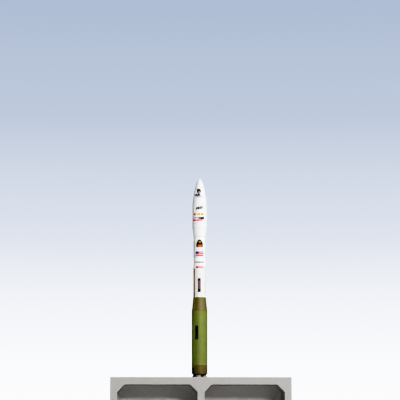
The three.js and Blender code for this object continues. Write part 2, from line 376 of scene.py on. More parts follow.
def joint_wear_group():
    """Colour mixed in unevenly at marked rims and joints: grime and soot, painted shade on the bells, a
    painted highlight on the plinth.
    """
    tree, given, made = new_group(
        "joint_wear", "ShaderNodeTree",
        [
            ("Color", "Color"),
            ("Wear Color", "Color"),
            ("Amount", "Float", 0.5),
            ("Patch Size", "Float", 0.6 * MM),
        ],
        [("Color", "Color")],
    )
    marked = add_node(tree, "ShaderNodeAttribute", attribute_name=WEAR_AND_PAINTED_LIGHT).outputs["Fac"]
    noise = add_noise(tree, object_place(tree), given["Patch Size"])
    patches = add_range(tree, noise, *WEAR_STEP, LEAST_WEAR, 1)
    mask = add_math(tree, "MULTIPLY", marked, patches)
    share = add_math(tree, "MULTIPLY", mask, given["Amount"])
    feed(tree, made["Color"], add_mix(tree, share, given["Color"], given["Wear Color"]))
    return tree


def place_group(tree, name, build, values):
    """Puts a shader group in a material, with its own values. The group is built when first asked for."""
    group = bpy.data.node_groups.get(name) or build()
    return add_node(tree, "ShaderNodeGroup", values, node_tree=group).outputs


def new_material(name):
    """A material, its node tree and its shader's inputs."""
    material = bpy.data.materials.new(name)
    material.use_nodes = True
    return material, material.node_tree, material.node_tree.nodes["Principled BSDF"].inputs


# Each finish: paint, second tone, cloud size, cloud share, grain size, gloss low and high,
# bump height, wear colour, wear amount, sheen. Sizes in millimetres
FINISHES = {
    # The plinth's wear colour is paler: a painted highlight on its rounded rims
    "plinth": ("plinth", "plinth_pale_and_highlight", 9.0, 0.12, 0.35, 0.62, 0.75, 0.010, "plinth_pale_and_highlight", 0.6, 0.3),
    # Painted light: the back panels' paler paint
    "recess": ("recess", "recess_mottle", 9.0, 0.3, 0.35, 0.65, 0.8, 0.010, "recess_mottle", 0.5, 0.3),
    "white": ("white", "white_mottle", 2.5, 0.5, 0.16, 0.48, 0.6, 0.003, "grime", 0.2, 0.3),
    # Painted light: the brighter white of the upper stages
    "clean_white": ("clean_white", "lit_white_mottle", 2.5, 0.5, 0.16, 0.48, 0.6, 0.003, "grime", 0.35, 0.3),
    # Painted shade: the greyer white of the third stage's raceway
    "dull_white": ("dull_white", "shaded_white_mottle", 2.5, 0.5, 0.16, 0.48, 0.6, 0.003, "grime", 0.35, 0.3),
    "green": ("green", "green_mottle", 2.2, 0.7, 0.14, 0.48, 0.6, 0.004, "grime", 0.5, 0.31),
    "brown": ("brown", "brown_mottle", 1.3, 0.8, 0.14, 0.46, 0.58, 0.006, "grime", 0.5, 0.36),
    "cover_brown": ("cover_brown", "cover_mottle", 1.3, 0.8, 0.14, 0.46, 0.58, 0.006, "grime", 0.5, 0.36),
    "skirt": ("skirt", "skirt_mottle", 1.2, 0.8, 0.14, 0.5, 0.62, 0.006, "soot", 0.5, 0.25),
    "khaki": ("khaki", "khaki_mottle", 3.0, 0.9, 0.12, 0.5, 0.62, 0.004, "grime", 0.5, 0.4),
    "cream": ("cream", "soot", 1.2, 0.25, 0.1, 0.5, 0.62, 0.003, "soot", 0.55, 0.4),
    # Painted shade: the near-black finish of the rear and left bells
    "sooty": ("sooty", "soot", 1.2, 0.2, 0.1, 0.55, 0.68, 0.003, "soot", 0.3, 0.25),
    "black": ("black", "soot", 1.5, 0.12, 0.12, 0.5, 0.65, 0.004, "soot", 0.25, 0.3),
}
INK_FINISH = (1.2, 0.35, 0.1, 0.45, 0.6, 0.0015)
INK_SHEEN = 0.15
INK_FADE = 0.86


def shade(name, paint, second, sizes, sheen, wear=None):
    """A painted finish: paint skin, then the colour mixed in at rims and joints, then one Principled
    shader.
    """
    cloud, share, grain, gloss_low, gloss_high, bump_height = sizes
    material, tree, shader = new_material(name)
    shader["Specular IOR Level"].default_value = sheen
    skin = place_group(tree, "paint_skin", paint_skin_group, {
        "Paint": opaque(paint),
        "Second Tone": opaque(second),
        "Cloud Size": cloud * MM,
        "Cloud Share": share,
        "Grain Size": grain * MM,
        "Gloss Low": gloss_low,
        "Gloss High": gloss_high,
    })
    colour = skin["Color"]
    if wear:
        wear_colour, amount = wear
        colour = place_group(tree, "joint_wear", joint_wear_group, {
            "Color": colour,
            "Wear Color": opaque(wear_colour),
            "Amount": amount,
        })["Color"]
    feed(tree, shader["Base Color"], colour)
    feed(tree, shader["Roughness"], skin["Roughness"])
    feed(tree, shader["Normal"], add_node(tree, "ShaderNodeBump", {
        "Distance": bump_height * MM,
        "Strength": 1.0,
        "Height": skin["Height"],
    }))
    return material


def finish(name):
    """The material of that name, made when it is first asked for."""
    ready = bpy.data.materials.get("finish_" + name)
    if ready:
        return ready
    paints = bpy.context.scene.rocket_paints
    if name in FINISHES:
        paint, second, *sizes, wear, amount, sheen = FINISHES[name]
        return shade("finish_" + name, getattr(paints, paint), getattr(paints, second), sizes, sheen,
                     (getattr(paints, wear), amount))
    ink = getattr(paints, name)
    return shade("finish_" + name, ink, [channel * INK_FADE for channel in ink], INK_FINISH, INK_SHEEN)


# Mesh helpers

RIM_STEPS = 4


def add_object(name, data):
    """Links a new object to the scene."""
    item = bpy.data.objects.new(name, data)
    bpy.context.scene.collection.objects.link(item)
    return item


def add_piece(name, mesh, slot, *nodes, paint=None):
    """Links a finished mesh as a piece of the rocket model, in place of the nodes named."""
    if paint:
        mesh.materials.append(finish(paint))
    piece = add_object(name, mesh)
    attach(piece, BODY)
    if nodes:
        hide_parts(*nodes)


def mesh_from(name, bm):
    """The mesh of a finished BMesh, which is freed."""
    mesh = bpy.data.meshes.new(name)
    bm.to_mesh(mesh)
    bm.free()
    return mesh


def polar(angle, radius, height):
    """A point by its angle from the front, positive to the right, its radius and its height."""
    return Vector((radius * math.sin(angle), -radius * math.cos(angle), height))


def soften(mesh, degrees=35):
    """Shades a mesh smooth, apart from edges sharper than an angle."""
    mesh.shade_smooth()
    mesh.set_sharp_from_angle(angle=math.radians(degrees))


def bridge(bm, rings):
    """Faces from each ring of points to the next. A ring may be a single point."""
    sides = max(len(ring) for ring in rings)
    for low, high in zip(rings, rings[1:]):
        for i in range(sides):
            j = (i + 1) % sides
            corners = [low[i % len(low)], low[j % len(low)], high[j % len(high)], high[i % len(high)]]
            bm.faces.new(list(dict.fromkeys(corners)))


def turned_mesh(name, rows, sides, centre=(0, 0)):
    """A closed turned shape. Each row is a radius, a height and a share of wear, up from the axis to it."""
    bm = bmesh.new()
    wear = bm.verts.layers.float.new(WEAR_AND_PAINTED_LIGHT)
    offset = Vector((*centre, 0))
    rings = []
    for radius, height, mark in rows:
        count = 1 if radius == 0 else sides
        ring = [bm.verts.new(offset + polar(math.tau * i / sides, radius, height)) for i in range(count)]
        for vert in ring:
            vert[wear] = mark
        rings.append(ring)
    bridge(bm, rings)
    bmesh.ops.recalc_face_normals(bm, faces=bm.faces)
    mesh = mesh_from(name, bm)
    soften(mesh, 26)
    return mesh


def rounded(radius, height, lip, upward):
    """Rows round the rim of a section's end. They run from the end face out to the skin, or back."""
    rows = []
    for step in range(RIM_STEPS + 1):
        turn = step / RIM_STEPS * math.pi / 2
        inset = lip * (1 - math.sin(turn))
        rise = lip * (1 - math.cos(turn))
        rows.append((radius - inset, height + rise if upward else height - rise, 1.0))
    return rows if upward else rows[::-1]


# The plinth

def plinth_outlines():
    """The front's outlines in X and Z: its edge, then each pocket with its four haunches."""
    low, high = lowest("plinth_base"), highest("plinth_deck")
    leg = bpy.context.scene.rocket_shape.pocket_corner
    outlines = [[(low.x, low.z), (high.x, low.z), (high.x, high.z), (low.x, high.z)]]
    floor, ceiling = highest("plinth_base").z, lowest("plinth_deck").z
    walls = ("plinth_wall_left", "plinth_wall_middle", "plinth_wall_right")
    for left_wall, right_wall in zip(walls, walls[1:]):
        west, east = highest(left_wall).x, lowest(right_wall).x
        outlines.append([
            (west + leg, floor),
            (east - leg, floor),
            (east, floor + leg),
            (east, ceiling - leg),
            (east - leg, ceiling),
            (west + leg, ceiling),
            (west, ceiling - leg),
            (west, floor + leg),
        ])
    return outlines


def plinth_mesh(name):
    """Deck, base, walls and haunches as one moulding, open at the pockets, with rounded edges."""
    bm = bmesh.new()
    wear = bm.faces.layers.float.new(WEAR_AND_PAINTED_LIGHT)
    ends = []
    for y in (lowest("plinth_deck").y, highest("plinth_deck").y):
        ends.append([[bm.verts.new((x, y, z)) for x, z in outline] for outline in plinth_outlines()])
    for front_and_back in zip(*ends):
        bridge(bm, front_and_back)
    for loops in ends:
        edges = [bm.edges.get(pair) for loop in loops for pair in zip(loop, loop[1:] + loop[:1])]
        bmesh.ops.triangle_fill(bm, use_beauty=True, use_dissolve=False, edges=edges)
    bmesh.ops.recalc_face_normals(bm, faces=bm.faces)
    right_angles = [edge for edge in bm.edges if edge.calc_face_angle() > math.radians(60)]
    rims = bmesh.ops.bevel(
        bm, geom=right_angles, offset=bpy.context.scene.rocket_shape.plinth_rounding,
        offset_type="OFFSET", segments=3, profile=0.5, affect="EDGES", clamp_overlap=True,
    )
    # The rounded rims take the paler edge colour as a painted highlight
    for face in rims["faces"]:
        face[wear] = 1.0
        face.smooth = True
    return mesh_from(name, bm)


class ROCKET_OT_plinth(Operator):
    """Build the plinth as one moulding and finish its back panels"""
    bl_idname = "rocket_model.plinth"
    bl_label = "Plinth"

    def execute(self, context):
        walls = [f"plinth_wall_{side}" for side in ("left", "middle", "right")]
        haunches = [
            f"plinth_haunch_{side}_{corner}"
            for side in ("left", "right")
            for corner in ("top_west", "top_east", "foot_west", "foot_east")
        ]
        add_piece("plinth_frame", plinth_mesh("plinth_frame"), "plinth_grey",
                  "plinth_base", "plinth_deck", *walls, *haunches, paint="plinth")
        for side in ("left", "right"):
            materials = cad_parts[f"plinth_back_panel_{side}"].data.materials
            materials.clear()
            materials.append(finish("recess"))
        return {"FINISHED"}


# The turned sections

# The part's own material for each paint
SLOTS = {
    "skirt": "skirt_brown",
    "green": "stage_green",
    "brown": "interstage_brown",
    "white": "rocket_white",
    "clean_white": "rocket_white",
}

# Raised bands on a section: node, height above its foot or below its top (negative), width, rise
BANDS = (
    ("aft_skirt", 0.45, 0.5, 0.05),
    ("stage1_motor_case", 0.5, 0.6, 0.03),
    ("stage1_motor_case", -0.5, 0.6, 0.03),
    ("interstage_1_2", 0.55, 0.7, 0.05),
    ("interstage_1_2", -0.45, 0.55, 0.05),
    ("stage2_motor_case", 0.45, 0.5, 0.03),
    ("stage2_motor_case", -0.45, 0.5, 0.03),
    ("stage3_motor_case", 0.4, 0.45, 0.03),
    ("fairing_base_ring", 0.35, 0.4, 0.03),
)
BAND_SLOPE = 0.05
BAND_FOOT_WEAR = 0.8
BAND_TOP_WEAR = 0.1

# How far wear reaches from a section's end, and the gap between the skirt's mouth and its plug
WEAR_REACH = 0.5
MOUTH_GAP = 0.1


def section_rows(node):
    """Rows of one turned section, with rounded ends and its raised bands."""
    low, high = lowest(node).z, highest(node).z
    foot_radius, head_radius = section_radii(node)
    lip = bpy.context.scene.rocket_shape.lip

    def radius_at(height):
        return foot_radius + (height - low) / (high - low) * (head_radius - foot_radius)

    marks = {low + lip: (0.0, 1.0), high - lip: (0.0, 1.0)}
    for height in (low + lip + WEAR_REACH * MM, high - lip - WEAR_REACH * MM):
        marks[height] = (0.0, 0.0)
    for owner, place, width, rise in BANDS:
        if owner != node:
            continue
        centre = (low if place > 0 else high) + place * MM
        for side in (-1, 1):
            edge = centre + side * width * MM / 2
            marks[edge + side * BAND_SLOPE * MM] = (0.0, BAND_FOOT_WEAR)
            marks[edge] = (rise * MM, BAND_TOP_WEAR)
    body = [
        (radius_at(height) + rise, height, mark)
        for height, (rise, mark) in sorted(marks.items())
        if low + lip < height < high - lip
    ]
    foot = rounded(foot_radius, low, lip, upward=True)
    head = rounded(head_radius, high, lip, upward=False)
    return [(0, low, 0), *foot, *body, *head, (0, high, 0)]


def skirt_rows():
    """The aft skirt is open below, where the closure plugs it."""
    rows = section_rows("aft_skirt")
    mouth = highest("base_closure").x + MOUTH_GAP * MM
    plug = highest("base_closure").z
    rim = lowest("aft_skirt").z
    return [(0, plug, 0), (mouth, plug, 0), (mouth, rim, 1), *rows[1:]]


class ROCKET_OT_sections(Operator):
    """Turn the skirt, motor cases, interstages and fairing below the nose"""
    bl_idname = "rocket_model.sections"
    bl_label = "Turned sections"

    def execute(self, context):
        for node, paint in SECTIONS:
            rows = skirt_rows() if node == "aft_skirt" else section_rows(node)
            name = node + "_turned"
            mesh = turned_mesh(name, rows, context.scene.rocket_shape.sides)
            add_piece(name, mesh, SLOTS[paint], node, paint=paint)
        return {"FINISHED"}


# The nose, whose radius follows a rule

# Rows below this share of the way up are the nose's foot. Points closer than the weld, in mm, become one
FOOT_SHARE = 0.001
NOSE_WELD = 0.001


def grown_mesh(name, tree, values):
    """The mesh that a node tree grows from nothing, with those inputs."""
    host = add_object(name + "_host", bpy.data.meshes.new(name + "_host"))
    modifier = host.modifiers.new("grow", "NODES")
    modifier.node_group = tree
    for item in tree.interface.items_tree:
        if item.item_type == "SOCKET" and item.in_out == "INPUT":
            modifier[item.identifier] = values[item.name]
    host.update_tag()
    bpy.context.view_layer.update()
    mesh = bpy.data.meshes.new_from_object(host.evaluated_get(bpy.context.evaluated_depsgraph_get()))
    mesh.name = name
    host.modifiers.remove(modifier)
    bpy.data.objects.remove(host)
    if not mesh.polygons:
        raise RuntimeError(f"the nodes made nothing for {name}")
    return mesh


def add_lift(tree, geometry, height):
    """The geometry moved up."""
    rise = add_node(tree, "ShaderNodeCombineXYZ", {"Z": height})
    return add_node(tree, "GeometryNodeTransform", {"Geometry": geometry, "Translation": rise})


def hand_out(tree, given, made, geometry):
    """Gives the geometry its material and ends the group."""
    feed(tree, made["Geometry"], add_node(tree, "GeometryNodeSetMaterial", {
        "Geometry": geometry,
        "Material": given["Material"],
    }))


def nose_tree():
    """A nose by rule: its radius is the root of 1 - t^power, with rows that close up at the tip."""
    tree, given, made = new_group(
        "nose_by_rule", "GeometryNodeTree",
        [
            ("Foot Height", "Float"), ("Length", "Float"), ("Radius", "Float"), ("Power", "Float", 1.25),
            ("Lip", "Float"), ("Sides", "Int", 96), ("Rows", "Int", 40), ("Material", "Material"),
        ],
        [("Geometry", "Geometry")],
    )
    add = functools.partial(add_node, tree)
    math_of = functools.partial(add_math, tree)
    grid = add("GeometryNodeMeshGrid", {
        "Vertices X": math_of("ADD", given["Sides"], 1),
        "Vertices Y": given["Rows"],
        "Size X": 1,
        "Size Y": 1,
    })
    place = add("ShaderNodeSeparateXYZ", {0: add("GeometryNodeInputPosition")}).outputs
    up = math_of("ADD", place["Y"], 0.5)
    share = math_of("SINE", math_of("MULTIPLY", up, math.pi / 2))
    fullness = math_of("SUBTRACT", 1, math_of("POWER", share, given["Power"]))
    root = math_of("SQRT", math_of("MAXIMUM", fullness, 0))
    at_foot = math_of("LESS_THAN", up, FOOT_SHARE)
    radius = math_of("SUBTRACT", math_of("MULTIPLY", root, given["Radius"]),
                     math_of("MULTIPLY", at_foot, given["Lip"]))
    angle = math_of("MULTIPLY", math_of("ADD", place["X"], 0.5), math.tau)
    spot = add("ShaderNodeCombineXYZ", {
        "X": math_of("MULTIPLY", radius, math_of("COSINE", angle)),
        "Y": math_of("MULTIPLY", radius, math_of("SINE", angle)),
        "Z": math_of("MULTIPLY_ADD", share, given["Length"], given["Foot Height"]),
    })
    marked = add("GeometryNodeStoreNamedAttribute", {"Geometry": grid, "Name": WEAR_AND_PAINTED_LIGHT, "Value": at_foot},
                 data_type="FLOAT", domain="POINT")
    skin = add("GeometryNodeSetPosition", {"Geometry": marked, "Position": spot})
    disc = add("GeometryNodeMeshCircle", {
        "Vertices": given["Sides"],
        "Radius": math_of("SUBTRACT", given["Radius"], given["Lip"]),
    }, fill_type="NGON")
    foot = add("GeometryNodeFlipFaces", {"Mesh": add_lift(tree, disc, given["Foot Height"])})
    joined = add("GeometryNodeJoinGeometry", {0: skin})
    feed(tree, joined.inputs[0], foot)
    welded = add("GeometryNodeMergeByDistance", {"Geometry": joined, "Distance": NOSE_WELD * MM})
    hand_out(tree, given, made, welded)
    return tree


class ROCKET_OT_nose(Operator):
    """Grow the fairing's nose by its rule"""
    bl_idname = "rocket_model.nose"
    bl_label = "Nose"

    def execute(self, context):
        settings = context.scene.rocket_shape
        foot, tip = node_box("fairing_nose")
        mesh = grown_mesh("fairing_nose_grown", nose_tree(), {
            "Foot Height": foot.z,
            "Length": tip.z - foot.z,
            "Radius": tip.x,
            "Power": settings.nose_power,
            "Lip": settings.lip,
            "Sides": settings.sides,
            "Rows": settings.nose_rows,
            "Material": finish("white"),
        })
        soften(mesh)
        add_piece("fairing_nose_grown", mesh, "rocket_white", "fairing_nose")
        return {"FINISHED"}


# The base closure and the four nozzle bells

BELL_ROWS = 18
BELL_SIDES = 64
FLARE_POWER = 0.55
# Painted shade: the dark tone on a bell's outside grows towards its throat, under the closure; this is the
# share left at the lip
LIP_SHADE = 0.15
BOSS_GAP = 0.1
BOSS_WEAR = 0.5
# The rear and left bells take the near-black finish, which is painted shade
BELLS = (("front", "cream"), ("right", "cream"), ("rear", "sooty"), ("left", "sooty"))

# The ring sunk in the closure's face: its radius, then steps from that and how deep each lies
CLOSURE_RING = 4.7
RING_SECTION = ((-0.12, 0), (-0.06, 0.08), (0.06, 0.08), (0.12, 0))


def bell_profile():
    """The bell's outside from its throat to its lip: share of the way down, radius and height."""
    low, high = node_box("nozzle_front")
    throat = bpy.context.scene.rocket_shape.bell_throat
    spread = (high.x - low.x) / 2 - throat
    for step in range(BELL_ROWS + 1):
        share = step / BELL_ROWS
        radius = throat + spread * math.sin(share ** FLARE_POWER * math.pi / 2)
        yield share, radius, high.z - share * (high.z - low.z)


def bell_rows():
    """A bell from its lip on the deck up to its throat, outside and inside, closed at the crown."""
    wall = bpy.context.scene.rocket_shape.bell_wall
    crown = highest("nozzle_front").z
    outside = []
    inside = []
    for share, radius, height in bell_profile():
        # Outside, painted shade grows towards the throat; inside, the bell is dark with soot
        outside.insert(0, (radius, height, LIP_SHADE + (1 - LIP_SHADE) * (1 - share) ** 2))
        inside.append((radius - wall, min(height, crown - wall), 1.0))
    return [(0, crown - wall, 1), *inside, *outside, (0, crown, 1)]


def closure_rows():
    """The boss that narrows upwards between the bells, the flat face with a ring, and the plug's edge."""
    low, high = node_box("nozzle_front")
    reach = ((low + high) / 2).to_2d().length - BOSS_GAP * MM
    boss = [(reach - radius, height, BOSS_WEAR) for _, radius, height in bell_profile()][::-1]
    face = boss[-1][1]
    ring = [
        ((CLOSURE_RING + step) * MM, face + depth * MM, 1 if depth else 0)
        for step, depth in RING_SECTION
    ]
    rim, top = highest("base_closure").x, highest("base_closure").z
    return [(0, boss[0][1], 0), *boss, *ring, (rim, face, 1), (rim, top, 0), (0, top, 0)]


class ROCKET_OT_aft_end(Operator):
    """Turn the nozzle bells and the base closure that they hang from"""
    bl_idname = "rocket_model.aft_end"
    bl_label = "Nozzles and closure"

    def execute(self, context):
        for place, paint in BELLS:
            node = f"nozzle_{place}"
            low, high = node_box(node)
            mesh = turned_mesh(node + "_bell", bell_rows(), BELL_SIDES, ((low + high) / 2).to_2d())
            add_piece(node + "_bell", mesh, "nozzle_tan", node, paint=paint)
        mesh = turned_mesh("base_closure_turned", closure_rows(), context.scene.rocket_shape.sides)
        add_piece("base_closure_turned", mesh, "base_black", "base_closure", paint="black")
        return {"FINISHED"}


# Raceways

# Each cover: node, finish, slot, then lengths in millimetres: taper at the foot and at the head,
# rise, and width at the foot's tip, above the foot, below the head and at the head's tip
RACEWAYS = (
    # The raceway's foot is painted near black as painted shade below the raceway's end
    ("raceway_foot", "black", "base_black", 0.7, 0.0, 0.17, 3.2, 5.2, 5.2, 5.2),
    ("stage1_raceway", "green", "stage_green", 0.0, 0.0, 0.17, 5.2, 5.2, 5.2, 5.2),
    ("interstage_raceway", "cover_brown", "interstage_brown", 0.0, 0.0, 0.17, 5.2, 5.2, 3.3, 3.3),
    ("stage2_raceway", "khaki", "raceway_khaki", 0.0, 0.0, 0.17, 3.3, 3.3, 3.3, 3.3),
    ("stage2_raceway_cap", "clean_white", "rocket_white", 0.0, 0.7, 0.17, 3.3, 3.3, 3.3, 2.6),
    ("stage3_raceway", "dull_white", "rocket_white", 0.7, 0.7, 0.2, 2.6, 3.3, 3.3, 2.6),
)

# Gap to the skin, rise at a tip and length of one cover, then the wear on a tapered end, the wear
# where the taper meets the full section, and how fast wear fades from a cover's foot to its crown
RACEWAY_GAP = 0.02
RACEWAY_TIP_RISE = 0.06
COVER_LENGTH = 6.5
COVER_TIP_WEAR = 0.6
COVER_TAPER_WEAR = 0.3
COVER_WEAR_FADE = 1.4

# A joint between covers: half its width and its depth. Then, up the cover, the place of each row in
# half widths, its share of the depth, and its wear
COVER_JOINT = (0.08, 0.07)
JOINT_ROWS = ((-2.5, 0, 0.0), (-1, 0, 0.7), (-0.5, 1, 1.0), (0.5, 1, 1.0), (1, 0, 0.7), (2.5, 0, 0.0))

# Half of a cover's section, from its foot to its crown: share of the half width, share of the rise.
# The crown and the underside are flat, so they have the shares of the half width alone
COVER_SHOULDER = ((1.0, 0.0), (1.0, 0.5), (0.985, 0.74), (0.95, 0.91), (0.9, 1.0))
COVER_CROWN = (0.6, 0.3, 0.0)
COVER_UNDERSIDE = (0.66, 0.33, 0.0, -0.33, -0.66)
TAPER_STEPS = 5


def tapered_end(tip, length, rise, tip_width, width):
    """Rows from a cover's tip towards its full section. A negative length runs down from the tip."""
    rows = []
    for step in range(TAPER_STEPS if length else 0):
        share = step / TAPER_STEPS
        ease = share * share * (3 - 2 * share)
        rows.append((tip + share * length * MM, RACEWAY_TIP_RISE + ease * (rise - RACEWAY_TIP_RISE),
                     tip_width + share * (width - tip_width), COVER_TIP_WEAR))
    return rows


def raceway_rows(low, high, foot_taper, head_taper, rise, foot_tip, foot_width, head_width, head_tip):
    """Rows up a cover as height, rise, width and wear, with tapered ends and the covers' joints."""
    rows = tapered_end(low, foot_taper, rise, foot_tip, foot_width)
    start = low + foot_taper * MM
    end = high - head_taper * MM
    rows.append((start, rise, foot_width, COVER_TAPER_WEAR if foot_taper else 1.0))
    count = max(1, round((end - start) / (COVER_LENGTH * MM)))
    half, depth = COVER_JOINT
    for index in range(1, count):
        share = index / count
        centre = start + share * (end - start)
        width = foot_width + share * (head_width - foot_width)
        for shift, sink, mark in JOINT_ROWS:
            rows.append((centre + shift * half * MM, rise - sink * depth, width, mark))
    rows.append((end, rise, head_width, COVER_TAPER_WEAR if head_taper else 1.0))
    return rows + tapered_end(high, -head_taper, rise, head_tip, head_width)[::-1]


def raceway_mesh(name, rows):
    """A cover that follows the skin, with rounded shoulders and closed ends."""
    half_section = [*COVER_SHOULDER, *((share, 1.0) for share in COVER_CROWN)]
    section = [(-share, lift) for share, lift in half_section]
    section += [(share, lift) for share, lift in half_section[-2::-1]]
    under = [(share, -1) for share in COVER_UNDERSIDE]
    middle = -bpy.context.scene.rocket_shape.raceway_angle
    bm = bmesh.new()
    wear = bm.verts.layers.float.new(WEAR_AND_PAINTED_LIGHT)
    rings = []
    for height, rise, width, mark in rows:
        skin = skin_radius(height)
        reach = math.asin(width * MM / 2 / skin)
        ring = []
        for share, lift in (*section, *under):
            lifted = skin + (RACEWAY_GAP + max(0, lift) * (rise - RACEWAY_GAP)) * MM
            vert = bm.verts.new(polar(middle + share * reach, lifted, height))
            vert[wear] = max(mark, 1.0 - COVER_WEAR_FADE * lift if lift >= 0 else 0.0)
            ring.append(vert)
        rings.append(ring)
    bridge(bm, rings)
    bm.faces.new(rings[0])
    bm.faces.new(rings[-1])
    bmesh.ops.recalc_face_normals(bm, faces=bm.faces)
    mesh = mesh_from(name, bm)
    soften(mesh, 40)
    return mesh


class ROCKET_OT_raceways(Operator):
    """Shape the cable covers up the rocket's left side"""
    bl_idname = "rocket_model.raceways"
    bl_label = "Raceways"

    def execute(self, context):
        for node, paint, slot, *sizes in RACEWAYS:
            rows = raceway_rows(lowest(node).z, highest(node).z, *sizes)
            add_piece(node + "_cover", raceway_mesh(node + "_cover", rows), slot, node, paint=paint)
        return {"FINISHED"}


# Fasteners round the joints

# Each row of fasteners: section, height above its foot or below its top (negative) in mm, count
FASTENER_ROWS = {
    "brown": (("interstage_1_2", 0.55, 36), ("interstage_1_2", -0.45, 30)),
    "skirt": (("aft_skirt", -0.55, 36), ("aft_skirt", 0.45, 36)),
    "clean_white": (("interstage_2_3", -0.5, 28), ("interstage_2_3", 0.5, 28)),
    "white": (("fairing_boat_tail", 0.6, 28), ("fairing_base_ring", -0.6, 32)),
}
HEAD_SIDES = 10
HEAD_TOP_SHARE = 0.65


def fastener_tree():
    """One ring of fastener heads that stand out of a round skin."""
    tree, given, made = new_group(
        "fastener_ring", "GeometryNodeTree",
        [
            ("Height", "Float"), ("Skin Radius", "Float"), ("Count", "Int", 24), ("Head Radius", "Float"),
            ("Head Rise", "Float"), ("Material", "Material"),
        ],
        [("Geometry", "Geometry")],
    )
    ring = add_node(tree, "GeometryNodeMeshCircle", {
        "Vertices": given["Count"],
        "Radius": given["Skin Radius"],
    })
    head = add_node(tree, "GeometryNodeMeshCone", {
        "Vertices": HEAD_SIDES,
        "Radius Top": add_math(tree, "MULTIPLY", given["Head Radius"], HEAD_TOP_SHARE),
        "Radius Bottom": given["Head Radius"],
        "Depth": given["Head Rise"],
    }, fill_type="NGON")
    facing = add_node(tree, "FunctionNodeAlignRotationToVector", {
        "Vector": add_node(tree, "GeometryNodeInputPosition"),
    }, axis="Z")
    placed = add_node(tree, "GeometryNodeInstanceOnPoints", {
        "Points": ring,
        "Instance": head,
        "Rotation": facing,
    })
    raised = add_lift(tree, placed, given["Height"])
    hand_out(tree, given, made, add_node(tree, "GeometryNodeRealizeInstances", {"Geometry": raised}))
    return tree


class ROCKET_OT_fasteners(Operator):
    """Set rings of small fastener heads at the rocket's joints"""
    bl_idname = "rocket_model.fasteners"
    bl_label = "Fasteners"

    def execute(self, context):
        settings = context.scene.rocket_shape
        tree = fastener_tree()
        bands = {(owner, place): rise for owner, place, _, rise in BANDS}
        for paint, rings in FASTENER_ROWS.items():
            for index, (node, place, count) in enumerate(rings):
                height = (lowest(node) if place > 0 else highest(node)).z + place * MM
                name = f"fastener_ring_{paint}_{index + 1}"
                mesh = grown_mesh(name, tree, {
                    "Height": height,
                    "Skin Radius": skin_radius(height) + bands.get((node, place), 0) * MM,
                    "Count": count,
                    "Head Radius": settings.fastener_radius,
                    "Head Rise": settings.fastener_height,
                    "Material": finish(paint),
                })
                add_piece(name, mesh, SLOTS[paint])
        return {"FINISHED"}


# Markings. A flat layout has X along the skin from the front line, positive to the right, and Z above
# the deck, both in millimetres. It is wrapped on the skin as a thin film

# Width of a strip, how deep a film's underside lies in the skin, and how near a point counts as cut
SLICE = 0.3
FILM_SINK = 0.006
CUT_REACH = 0.0001


def block(west, east, low, high, slant=0.0):
    """A rectangle, or a slanted one whose top is shifted along the skin."""
    return [(west, low), (east, low), (east + slant, high), (west + slant, high)]


def ellipse(x, z, width, height, corners=32):
    """An ellipse by its centre, width and height."""
    turns = [math.tau * i / corners for i in range(corners)]
    return [(x + width / 2 * math.sin(turn), z + height / 2 * math.cos(turn)) for turn in turns]


def wave_band(west, east, middle, swing, thickness, waves, steps=48):
    """A band whose middle line is a wave."""
    def line(shift):
        return [
            (west + (east - west) * i / steps,
             middle + swing * math.sin(math.tau * waves * i / steps) + shift)
            for i in range(steps + 1)
        ]
    return line(-thickness / 2) + line(thickness / 2)[::-1]


def flat_shape(outline):
    """A flat outline cut into narrow strips, so that it can follow the skin."""
    bm = bmesh.new()
    bm.faces.new([bm.verts.new((x, 0, z)) for x, z in outline])
    for along in (Vector((1, 0, 0)), Vector((0, 0, 1))):
        places = [vert.co.dot(along) for vert in bm.verts]
        start, end = min(places), max(places)
        count = math.ceil((end - start) / SLICE)
        for index in range(1, count):
            bmesh.ops.bisect_plane(
                bm, geom=[*bm.verts, *bm.edges, *bm.faces], dist=CUT_REACH,
                plane_co=along * (start + (end - start) * index / count), plane_no=along,
            )
    return bm


def put_in_order(bm):
    """Sorts points, edges and faces by where they are, so that the mesh comes out the same each time."""
    def middle(item):
        return sum((vert.co for vert in item.verts), Vector()) / len(item.verts)

    for items, place in ((bm.verts, lambda vert: vert.co), (bm.edges, middle), (bm.faces, middle)):
        ranks = {item: rank for rank, item in enumerate(sorted(items, key=lambda item: place(item)[:]))}
        items.sort(key=ranks.get)


def film_mesh(name, shapes):
    """Films on the skin. Each shape is an ink, its layer and its outline in the flat layout."""
    rise = bpy.context.scene.rocket_shape.marking_rise
    inks = list(dict.fromkeys(ink for ink, _, _ in shapes))
    whole = bmesh.new()
    mesh = bpy.data.meshes.new(name)
    for ink, layer, outline in shapes:
        bm = flat_shape(outline)
        under = set(bm.verts)
        raised = bmesh.ops.extrude_face_region(bm, geom=bm.faces[:])["geom"]
        over = {item for item in raised if isinstance(item, bmesh.types.BMVert)}
        for verts, lift in ((under, -FILM_SINK * MM), (over, (layer + 1) * rise)):
            for vert in verts:
                height = DECK + vert.co.z * MM
                skin = skin_radius(height)
                vert.co = polar(vert.co.x * MM / skin, skin + lift, height)
        for face in bm.faces:
            face.material_index = inks.index(ink)
        bmesh.ops.recalc_face_normals(bm, faces=bm.faces)
        bm.to_mesh(mesh)
        bm.free()
        whole.from_mesh(mesh)
    put_in_order(whole)
    whole.to_mesh(mesh)
    whole.free()
    for ink in inks:
        mesh.materials.append(finish(ink))
    soften(mesh)
    return mesh


